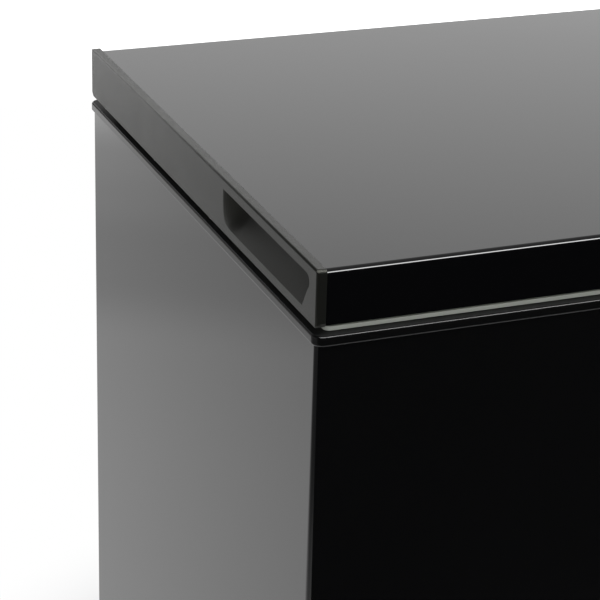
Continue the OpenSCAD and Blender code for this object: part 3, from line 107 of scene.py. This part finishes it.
world = bpy.data.worlds.new("studio_air")
scene.world = world
world.use_nodes = True
nodes, links = world.node_tree.nodes, world.node_tree.links
nodes.clear()
air = nodes.new("ShaderNodeBackground")
air.inputs["Color"].default_value = (0.93, 0.95, 1, 1)
air.inputs["Strength"].default_value = 0.55
paper = nodes.new("ShaderNodeBackground")
heading = nodes.new("ShaderNodeTexCoord")
height = nodes.new("ShaderNodeSeparateXYZ")
links.new(heading.outputs["Generated"], height.inputs[0])
dome_glow, camera_white = 2.4, 1.25
dome = nodes.new("ShaderNodeValToRGB")
grey_stops(dome.color_ramp, [
    (0.0, 1.0), (0.14, 0.95), (0.28, 0.65), (0.40, 0.51), (0.55, 0.27), (0.72, 0.21), (1.0, 0.19)])
links.new(height.outputs["Z"], dome.inputs["Fac"])
brighter = nodes.new("ShaderNodeMath")
brighter.operation = "MULTIPLY"
brighter.inputs[1].default_value = dome_glow
links.new(dome.outputs["Color"], brighter.inputs[0])
side = nodes.new("ShaderNodeMapRange")
side.interpolation_type = "SMOOTHSTEP"
side.inputs["From Min"].default_value = -0.38
side.inputs["From Max"].default_value = -0.10
side.inputs["To Min"].default_value = 0.12
links.new(height.outputs["X"], side.inputs["Value"])
flagged = nodes.new("ShaderNodeMath")
flagged.operation = "MULTIPLY"
links.new(brighter.outputs[0], flagged.inputs[0])
links.new(side.outputs[0], flagged.inputs[1])
direct = nodes.new("ShaderNodeLightPath")
seen = nodes.new("ShaderNodeMix")
links.new(direct.outputs["Is Camera Ray"], seen.inputs["Factor"])
links.new(flagged.outputs[0], seen.inputs["A"])
seen.inputs["B"].default_value = camera_white
links.new(seen.outputs["Result"], paper.inputs["Strength"])
mixed = nodes.new("ShaderNodeMixShader")
links.new(sees_background(nodes, links), mixed.inputs["Fac"])
links.new(air.outputs[0], mixed.inputs[1])
links.new(paper.outputs[0], mixed.inputs[2])
links.new(mixed.outputs[0], nodes.new("ShaderNodeOutputWorld").inputs["Surface"])

floor_mesh = bmesh.new()
floor_half = 12
bmesh.ops.create_grid(floor_mesh, x_segments=1, y_segments=1, size=floor_half)
floor = bpy.data.objects.new("floor", bpy.data.meshes.new("floor"))
floor_mesh.to_mesh(floor.data)
floor_mesh.free()
scene.collection.objects.link(floor)
floor_paint = bpy.data.materials.new("floor_paint")
floor_paint.use_nodes = True
nodes, links = floor_paint.node_tree.nodes, floor_paint.node_tree.links
nodes.clear()
where = nodes.new("ShaderNodeTexCoord")
reach = nodes.new("ShaderNodeVectorMath")
reach.operation = "LENGTH"
links.new(where.outputs["Object"], reach.inputs[0])
fade = nodes.new("ShaderNodeMapRange")
fade.interpolation_type = "SMOOTHSTEP"
fade.inputs["From Min"].default_value = 0.42
fade.inputs["From Max"].default_value = 0.85
links.new(reach.outputs["Value"], fade.inputs["Value"])
shown = nodes.new("ShaderNodeMath")
shown.operation = "MULTIPLY"
links.new(fade.outputs[0], shown.inputs[0])
links.new(sees_background(nodes, links), shown.inputs[1])
matt = nodes.new("ShaderNodeBsdfDiffuse")
matt.inputs["Color"].default_value = (0.86, 0.86, 0.86, 1)
white = nodes.new("ShaderNodeEmission")
# painted pool of light: in reflections only, the floor glows brighter or dimmer with its distance
# from the middle
painted_pool_reach, painted_pool_glow = 4, 2.5
share = nodes.new("ShaderNodeMath")
share.operation = "DIVIDE"
share.inputs[1].default_value = painted_pool_reach
links.new(reach.outputs["Value"], share.inputs[0])
painted_pool = nodes.new("ShaderNodeValToRGB")
painted_pool.color_ramp.interpolation = "EASE"
grey_stops(painted_pool.color_ramp, [
    (0.30, 0.35), (0.40, 0.34), (0.465, 0.27), (0.51, 0.27), (0.565, 0.305), (0.62, 0.34),
    (0.72, 0.60), (0.84, 0.95)])
links.new(share.outputs[0], painted_pool.inputs["Fac"])
painted_pool_strength = nodes.new("ShaderNodeMath")
painted_pool_strength.operation = "MULTIPLY"
painted_pool_strength.inputs[1].default_value = painted_pool_glow
links.new(painted_pool.outputs["Color"], painted_pool_strength.inputs[0])
across = nodes.new("ShaderNodeSeparateXYZ")
links.new(where.outputs["Object"], across.inputs[0])
# painted shade: the floor's glow in reflections dims towards the left
painted_shade_left = nodes.new("ShaderNodeMapRange")
painted_shade_left.interpolation_type = "SMOOTHSTEP"
painted_shade_left.inputs["From Min"].default_value = -1.7
painted_shade_left.inputs["From Max"].default_value = -1.1
painted_shade_left.inputs["To Min"].default_value = 0.25
links.new(across.outputs["X"], painted_shade_left.inputs["Value"])
painted_reflection_glow = nodes.new("ShaderNodeMath")
painted_reflection_glow.operation = "MULTIPLY"
links.new(painted_pool_strength.outputs[0], painted_reflection_glow.inputs[0])
links.new(painted_shade_left.outputs[0], painted_reflection_glow.inputs[1])
direct = nodes.new("ShaderNodeLightPath")
seen = nodes.new("ShaderNodeMath")
seen.operation = "MAXIMUM"
links.new(direct.outputs["Is Camera Ray"], seen.inputs[0])
links.new(painted_reflection_glow.outputs[0], seen.inputs[1])
links.new(seen.outputs[0], white.inputs["Strength"])
mixed = nodes.new("ShaderNodeMixShader")
links.new(shown.outputs[0], mixed.inputs["Fac"])
links.new(matt.outputs[0], mixed.inputs[1])
links.new(white.outputs[0], mixed.inputs[2])
links.new(mixed.outputs[0], nodes.new("ShaderNodeOutputMaterial").inputs["Surface"])
floor.data.materials.append(floor_paint)



# a card seen only in reflections: the camera does not see it, it casts no shadow and lights nothing
def reflection_only_card(name, width, height, lean, place):
    sheet = bmesh.new()
    bmesh.ops.create_grid(sheet, x_segments=1, y_segments=1, size=0.5)
    bmesh.ops.scale(sheet, vec=(width, height, 1), verts=sheet.verts)
    bmesh.ops.rotate(sheet, matrix=Matrix.Rotation(math.radians(lean), 3, "X"), verts=sheet.verts)
    bmesh.ops.translate(sheet, vec=place, verts=sheet.verts)
    held = bpy.data.objects.new(name, bpy.data.meshes.new(name))
    sheet.to_mesh(held.data)
    sheet.free()
    scene.collection.objects.link(held)
    held.visible_camera = held.visible_diffuse = held.visible_shadow = False
    return held


# painted reflection: a black card seen only in reflections keeps the gloss front dark
card = reflection_only_card("painted_dark_reflection", 5.6, 1.7, 90, (0.8, -0.95, 0.85))
painted_reflection_black = bpy.data.materials.new("painted_reflection_black")
painted_reflection_black.use_nodes = True
nodes, links = painted_reflection_black.node_tree.nodes, painted_reflection_black.node_tree.links
nodes.clear()
velvet = nodes.new("ShaderNodeBsdfDiffuse")
velvet.inputs["Color"].default_value = (0.02, 0.02, 0.02, 1)
links.new(velvet.outputs[0], nodes.new("ShaderNodeOutputMaterial").inputs["Surface"])
card.data.materials.append(painted_reflection_black)

# painted highlight: a glowing strip seen only in reflections, which lights nothing, draws the line
# of light along the fold of the lid
strip = reflection_only_card("painted_edge_highlight", 3.6, 0.9, -25, (0.7, -1.2, 2.25))
painted_highlight_glow = bpy.data.materials.new("painted_highlight_glow")
painted_highlight_glow.use_nodes = True
nodes, links = painted_highlight_glow.node_tree.nodes, painted_highlight_glow.node_tree.links
nodes.clear()
tube = nodes.new("ShaderNodeEmission")
tube.inputs["Strength"].default_value = 17
links.new(tube.outputs[0], nodes.new("ShaderNodeOutputMaterial").inputs["Surface"])
strip.data.materials.append(painted_highlight_glow)

# ---------- cabinet sheet ----------
# The outside wrapper is one bent sheet of prepainted steel, black and high gloss, with the faint
# ripple that roller coating leaves. It is bent first and the cabinet is foamed against it.


def dressed(material, *names):
    for name in names:
        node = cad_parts[name]
        if not node.material_slots:
            node.data.materials.append(material)
        for slot in node.material_slots:
            slot.material = material


def new_finish(name, colour, roughness, metallic=0.0, ior=1.5):
    material = bpy.data.materials.new(name)
    material.use_nodes = True
    shader = material.node_tree.nodes["Principled BSDF"]
    shader.inputs["Base Color"].default_value = (*colour, 1)
    shader.inputs["Roughness"].default_value = roughness
    shader.inputs["Metallic"].default_value = metallic
    shader.inputs["IOR"].default_value = ior
    return material, shader


def new_effect(name, inputs, outputs):
    group = bpy.data.node_groups.new(name, "ShaderNodeTree")
    for title, kind, value in inputs:
        socket = group.interface.new_socket(title, in_out="INPUT", socket_type=kind)
        socket.default_value = value
    for title, kind in outputs:
        group.interface.new_socket(title, in_out="OUTPUT", socket_type=kind)
    return group, group.nodes.new("NodeGroupInput"), group.nodes.new("NodeGroupOutput")


# uneven surface: clouded noise that shades a colour, breaks up a gloss and lifts a little relief
uneven, taken, given = new_effect(
    "uneven_surface",
    [("Colour", "NodeSocketColor", (0.5, 0.5, 0.5, 1)), ("Shade", "NodeSocketFloat", 0.1),
     ("Roughness", "NodeSocketFloat", 0.3), ("Break", "NodeSocketFloat", 0.05),
     ("Patch", "NodeSocketFloat", 20), ("Grain", "NodeSocketFloat", 800),
     ("Relief", "NodeSocketFloat", 0.0001)],
    [("Colour", "NodeSocketColor"), ("Roughness", "NodeSocketFloat"),
     ("Normal", "NodeSocketVector")])
place = uneven.nodes.new("ShaderNodeTexCoord")
patches = uneven.nodes.new("ShaderNodeTexNoise")
patches.inputs["Detail"].default_value = 4
uneven.links.new(place.outputs["Object"], patches.inputs["Vector"])
uneven.links.new(taken.outputs["Patch"], patches.inputs["Scale"])
spread = uneven.nodes.new("ShaderNodeMapRange")
spread.inputs["To Min"].default_value = -1
uneven.links.new(patches.outputs["Fac"], spread.inputs["Value"])
shade = uneven.nodes.new("ShaderNodeMath")
shade.operation = "MULTIPLY_ADD"
shade.inputs[2].default_value = 1
uneven.links.new(spread.outputs[0], shade.inputs[0])
uneven.links.new(taken.outputs["Shade"], shade.inputs[1])
tinted = uneven.nodes.new("ShaderNodeVectorMath")
tinted.operation = "SCALE"
uneven.links.new(taken.outputs["Colour"], tinted.inputs[0])
uneven.links.new(shade.outputs[0], tinted.inputs["Scale"])
uneven.links.new(tinted.outputs[0], given.inputs["Colour"])
broken = uneven.nodes.new("ShaderNodeMath")
broken.operation = "MULTIPLY_ADD"
uneven.links.new(spread.outputs[0], broken.inputs[0])
uneven.links.new(taken.outputs["Break"], broken.inputs[1])
uneven.links.new(taken.outputs["Roughness"], broken.inputs[2])
uneven.links.new(broken.outputs[0], given.inputs["Roughness"])
fine = uneven.nodes.new("ShaderNodeTexNoise")
fine.inputs["Detail"].default_value = 2
uneven.links.new(place.outputs["Object"], fine.inputs["Vector"])
uneven.links.new(taken.outputs["Grain"], fine.inputs["Scale"])
raised = uneven.nodes.new("ShaderNodeBump")
uneven.links.new(fine.outputs["Fac"], raised.inputs["Height"])
uneven.links.new(taken.outputs["Relief"], raised.inputs["Distance"])
uneven.links.new(raised.outputs[0], given.inputs["Normal"])


def with_uneven(material, shader, shade=0.1, broken=0.04, patch=12, grain=800, relief=0.00005):
    nodes, links = material.node_tree.nodes, material.node_tree.links
    effect = nodes.new("ShaderNodeGroup")
    effect.node_tree = uneven
    effect.inputs["Colour"].default_value = shader.inputs["Base Color"].default_value
    effect.inputs["Roughness"].default_value = shader.inputs["Roughness"].default_value
    effect.inputs["Shade"].default_value = shade
    effect.inputs["Break"].default_value = broken
    effect.inputs["Patch"].default_value = patch
    effect.inputs["Grain"].default_value = grain
    effect.inputs["Relief"].default_value = relief
    links.new(effect.outputs["Colour"], shader.inputs["Base Color"])
    links.new(effect.outputs["Roughness"], shader.inputs["Roughness"])
    links.new(effect.outputs["Normal"], shader.inputs["Normal"])
    return effect


cabinet_paint, shader = new_finish("cabinet_black_paint", (0.0018, 0.0018, 0.0019), 0.09)
with_uneven(cabinet_paint, shader, shade=0.15, broken=0.015, patch=3, grain=260, relief=0.000004)
dressed(cabinet_paint, "outer_wrapper")

# ---------- bare sheet ----------
# The back, the base pan, the wall of the compressor bay and its cover are zinc-coated steel left
# bare, with the flat grey crystals of hot dipping. They are pressed, pierced and screwed together.

zinc_sheet, shader = new_finish("zinc_sheet", (0.52, 0.53, 0.54), 0.38, 0.9)
effect = with_uneven(zinc_sheet, shader, shade=0.12, broken=0.08, patch=9, grain=90, relief=0.00002)
nodes, links = zinc_sheet.node_tree.nodes, zinc_sheet.node_tree.links
crystals = nodes.new("ShaderNodeTexVoronoi")
crystals.inputs["Scale"].default_value = 90
place = nodes.new("ShaderNodeTexCoord")
links.new(place.outputs["Object"], crystals.inputs["Vector"])
facet = nodes.new("ShaderNodeMix")
facet.data_type = "RGBA"
facet.inputs["A"].default_value = (0.44, 0.45, 0.47, 1)
facet.inputs["B"].default_value = (0.62, 0.63, 0.64, 1)
one = nodes.new("ShaderNodeSeparateColor")
links.new(crystals.outputs["Color"], one.inputs[0])
links.new(one.outputs["Red"], facet.inputs["Factor"])
links.new(facet.outputs["Result"], effect.inputs["Colour"])
dressed(zinc_sheet, "back_panel", "base_pan", "bay_partition", "compressor_cover")

# ---------- liner and insulation ----------
# The tank is a folded aluminium liner with a stucco embossing, lacquered white. The wall between
# it and the wrapper is filled with yellowish rigid polyurethane foam, seen only where it is cut.

liner_white, shader = new_finish("liner_white", (0.80, 0.81, 0.81), 0.33)
with_uneven(liner_white, shader, shade=0.03, broken=0.05, patch=6, grain=160, relief=0.0004)
dressed(liner_white, "inner_liner")
foam, shader = new_finish("rigid_foam", (0.80, 0.66, 0.36), 0.85)
with_uneven(foam, shader, shade=0.12, broken=0.03, patch=25, grain=1500, relief=0.0005)
dressed(foam, "cabinet_foam", "lid_foam")

# ---------- top frame and other black mouldings ----------
# The rim of the cabinet is a black plastic frame clipped over the sheet, its bead smooth and its
# flat top grained. The grille, bezel, gland, feet and covers are injection moulded in the same
# black, with edges that are eased where a hand meets them.


def with_eased_edges(width, *names):
    for name in names:
        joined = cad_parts[name].modifiers.new("joined", "WELD")
        joined.merge_threshold = 0.00002
        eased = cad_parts[name].modifiers.new("eased", "BEVEL")
        eased.width, eased.segments = width, 3
        eased.limit_method, eased.angle_limit = "ANGLE", math.radians(50)
        eased.harden_normals = True


frame_black, shader = new_finish("frame_black", (0.002, 0.002, 0.002), 0.22, ior=1.42)
effect = with_uneven(frame_black, shader, shade=0.1, broken=0.05, patch=14, grain=900,
                     relief=0.00001)
nodes, links = frame_black.node_tree.nodes, frame_black.node_tree.links
facing = nodes.new("ShaderNodeNewGeometry")
level_part = nodes.new("ShaderNodeSeparateXYZ")
links.new(facing.outputs["True Normal"], level_part.inputs[0])
grained_top = nodes.new("ShaderNodeMapRange")
grained_top.inputs["From Min"].default_value = 0.96
grained_top.inputs["From Max"].default_value = 0.99
grained_top.inputs["To Min"].default_value = 0.22
grained_top.inputs["To Max"].default_value = 0.62
links.new(level_part.outputs["Z"], grained_top.inputs["Value"])
links.new(grained_top.outputs[0], effect.inputs["Roughness"])
dressed(frame_black, "top_frame")
moulded_black, shader = new_finish("moulded_black", (0.022, 0.022, 0.022), 0.42)
with_uneven(moulded_black, shader, shade=0.12, broken=0.05, patch=20, grain=1600, relief=0.00006)
dressed(moulded_black, "side_grille", "control_bezel", "switch_housing", "drain_outlet",
        "cord_gland", "front_feet", "relay_box", "hinge_cover_left", "hinge_cover_right",
        "roller_left", "roller_right")
with_eased_edges(0.0008, "hinge_cover_left", "hinge_cover_right", "relay_box")

# ---------- refrigerant tubes ----------
# The evaporator, suction and discharge lines are drawn copper, the condenser is painted steel
# tube taped to the inside of the wrapper, and the drier is a spun copper cartridge.

copper, shader = new_finish("copper_tube", (0.72, 0.36, 0.22), 0.28, 1.0)
with_uneven(copper, shader, shade=0.25, broken=0.12, patch=40, grain=700, relief=0.00003)
dressed(copper, "evaporator_tube", "suction_pipe", "discharge_pipe", "drier_filter")
tube_paint, shader = new_finish("tube_paint", (0.05, 0.05, 0.055), 0.45)
with_uneven(tube_paint, shader, shade=0.2, broken=0.08, patch=40, grain=700, relief=0.00005)
dressed(tube_paint, "condenser_tube")

# ---------- compressor ----------
# A hermetic compressor: two deep-drawn steel shells welded round the waist and dipped in black
# enamel, on a pressed foot plate that stands on rubber grommets.

enamel, shader = new_finish("compressor_enamel", (0.014, 0.014, 0.015), 0.3)
with_uneven(enamel, shader, shade=0.2, broken=0.1, patch=18, grain=420, relief=0.0001)
dressed(enamel, "compressor_lower_shell", "compressor_upper_shell", "compressor_base_plate")
rubber, shader = new_finish("black_rubber", (0.02, 0.02, 0.02), 0.7)
with_uneven(rubber, shader, shade=0.15, broken=0.06, patch=30, grain=1400, relief=0.00008)
dressed(rubber, "compressor_grommets")

# ---------- hardware ----------
# Screws, brackets, axles and the pressed hinges are zinc plated steel, bright and faintly blue,
# with the short scratches of the plating drum. The hinge springs are oiled spring wire.

zinc_plate, shader = new_finish("zinc_plate", (0.66, 0.67, 0.69), 0.3, 1.0)
with_uneven(zinc_plate, shader, shade=0.12, broken=0.1, patch=60, grain=1200, relief=0.00003)
dressed(zinc_plate, "compressor_bolts", "roller_brackets", "roller_axles", "cap_screws",
        "hinge_cabinet_screws", "hinge_lid_screws", "hinge_housing_left", "hinge_housing_right",
        "hinge_leaf_left", "hinge_leaf_right", "hinge_pin_left", "hinge_pin_right")
spring_wire, shader = new_finish("spring_wire", (0.30, 0.30, 0.32), 0.28, 1.0)
with_uneven(spring_wire, shader, shade=0.2, broken=0.1, patch=80, grain=1500, relief=0.00002)
dressed(spring_wire, "hinge_spring_left", "hinge_spring_right")

# ---------- white mouldings ----------
# The thermostat body, drain parts and the sliding plungers of the hinges are white or natural
# plastic, slightly translucent in the thin walls and satin from the mould.

white_plastic, shader = new_finish("white_plastic", (0.78, 0.78, 0.75), 0.36)
with_uneven(white_plastic, shader, shade=0.03, broken=0.05, patch=20, grain=1200, relief=0.00003)
dressed(white_plastic, "thermostat_body", "drain_tube", "drain_plug", "hinge_plunger_left",
        "hinge_plunger_right")

# ---------- controls ----------
# The knob, the rocker and the cap of the outer drain are moulded in the grey of the lid's end
# caps. The three indicator lamps are clear lenses pressed into the bezel, green over red over
# amber, and the dial's marks are pad printed on the bezel in white ink.

control_grey, shader = new_finish("control_grey", (0.09, 0.092, 0.088), 0.42)
with_uneven(control_grey, shader, shade=0.08, broken=0.05, patch=30, grain=1800, relief=0.00006)
dressed(control_grey, "thermostat_knob", "fast_freeze_rocker", "drain_cap")
with_eased_edges(0.0005, "thermostat_knob", "fast_freeze_rocker", "drain_cap", "control_bezel")
lamp_lens, shader = new_finish("lamp_lens", (0.05, 0.30, 0.08), 0.12)
effect = with_uneven(lamp_lens, shader, shade=0.1, broken=0.03, patch=60, grain=900,
                     relief=0.00002)
nodes, links = lamp_lens.node_tree.nodes, lamp_lens.node_tree.links
lamp_low, lamp_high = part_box("indicator_lamps")
place = nodes.new("ShaderNodeTexCoord")
height = nodes.new("ShaderNodeSeparateXYZ")
links.new(place.outputs["Object"], height.inputs[0])
share = nodes.new("ShaderNodeMapRange")
share.inputs["From Min"].default_value = lamp_low.z
share.inputs["From Max"].default_value = lamp_high.z
links.new(height.outputs["Z"], share.inputs["Value"])
tints = nodes.new("ShaderNodeValToRGB")
tints.color_ramp.interpolation = "CONSTANT"
tints.color_ramp.elements.new(0.66)
for element, (at, tint) in zip(tints.color_ramp.elements, [
        (0, (0.55, 0.26, 0.02, 1)), (0.33, (0.45, 0.02, 0.015, 1)), (0.66, (0.04, 0.34, 0.08, 1))]):
    element.position, element.color = at, tint
links.new(share.outputs[0], tints.inputs["Fac"])
links.new(tints.outputs["Color"], effect.inputs["Colour"])
dressed(lamp_lens, "indicator_lamps")

knob_low, knob_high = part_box("thermostat_knob")
bezel_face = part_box("control_bezel")[0].y
mark_ring = (knob_high.x - knob_low.x) / 2 + 0.0055
mark_mesh = bmesh.new()
for step in range(11):
    made = bmesh.ops.create_cube(mark_mesh, size=1)["verts"]
    bmesh.ops.scale(mark_mesh, vec=(0.0007, 0.0001, 0.0012 + 0.00012 * step), verts=made)
    bmesh.ops.translate(mark_mesh, vec=(0, 0, mark_ring), verts=made)
    bmesh.ops.rotate(mark_mesh, matrix=Matrix.Rotation(math.radians(27 * step - 135), 3, "Y"),
                     verts=made)
bmesh.ops.translate(mark_mesh, verts=mark_mesh.verts, vec=(
    (knob_low.x + knob_high.x) / 2, bezel_face - 0.00003, (knob_low.z + knob_high.z) / 2))
dial_marks = bpy.data.objects.new("dial_marks", bpy.data.meshes.new("dial_marks"))
mark_mesh.to_mesh(dial_marks.data)
mark_mesh.free()
scene.collection.objects.link(dial_marks)
ink, shader = new_finish("white_ink", (0.72, 0.72, 0.70), 0.55)
with_uneven(ink, shader, shade=0.05, broken=0.05, patch=200, grain=4000, relief=0.00001)
dial_marks.data.materials.append(ink)
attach(dial_marks, "cabinet")

# ---------- basket ----------
# The hanging basket is welded steel wire dipped in white polyethylene. Its two hangers ride on
# the ledge of the top frame.

coated_wire, shader = new_finish("coated_wire", (0.80, 0.80, 0.80), 0.24)
with_uneven(coated_wire, shader, shade=0.04, broken=0.05, patch=30, grain=500, relief=0.00008)
dressed(coated_wire, *[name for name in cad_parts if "basket" in name])

# ---------- lid ----------
# The lid's skin is one sheet of prepainted steel, black and mirror smooth, folded down at front
# and back. Its liner is white polystyrene formed over a mould and pressed into the seal's groove.

lid_gloss, shader = new_finish("lid_gloss_black", (0.0012, 0.0012, 0.0014), 0.03)
with_uneven(lid_gloss, shader, shade=0.15, broken=0.01, patch=2, grain=120, relief=0.000002)
dressed(lid_gloss, "lid_outer_skin")
formed_white, shader = new_finish("formed_white", (0.82, 0.82, 0.81), 0.28)
with_uneven(formed_white, shader, shade=0.008, broken=0.015, patch=2, grain=220, relief=0.00003)
dressed(formed_white, "lid_liner")

# ---------- end caps ----------
# Each end of the lid is closed by an injection moulded cap in warm near-black grey, spark eroded
# to a fine even grain and eased at its edges, with a finger scoop near the front.

cap_grey, shader = new_finish("cap_grey", (0.0040, 0.0041, 0.0035), 0.34, ior=1.37)
shader.inputs["Specular Tint"].default_value = (0.99, 1, 0.89, 1)
with_uneven(cap_grey, shader, shade=0.08, broken=0.04, patch=30, grain=2200, relief=0.00012)
dressed(cap_grey, "lid_cap_left", "lid_cap_right")
with_eased_edges(0.0012, "lid_cap_left", "lid_cap_right")

# ---------- seal ----------
# The magnetic seal is a soft grey-green extrusion in one ring, pushed into the groove of the
# lid's liner.

gasket, shader = new_finish("seal_grey", (0.34, 0.355, 0.315), 0.6)
with_uneven(gasket, shader, shade=0.06, broken=0.05, patch=30, grain=900, relief=0.00006)
dressed(gasket, "lid_gasket")
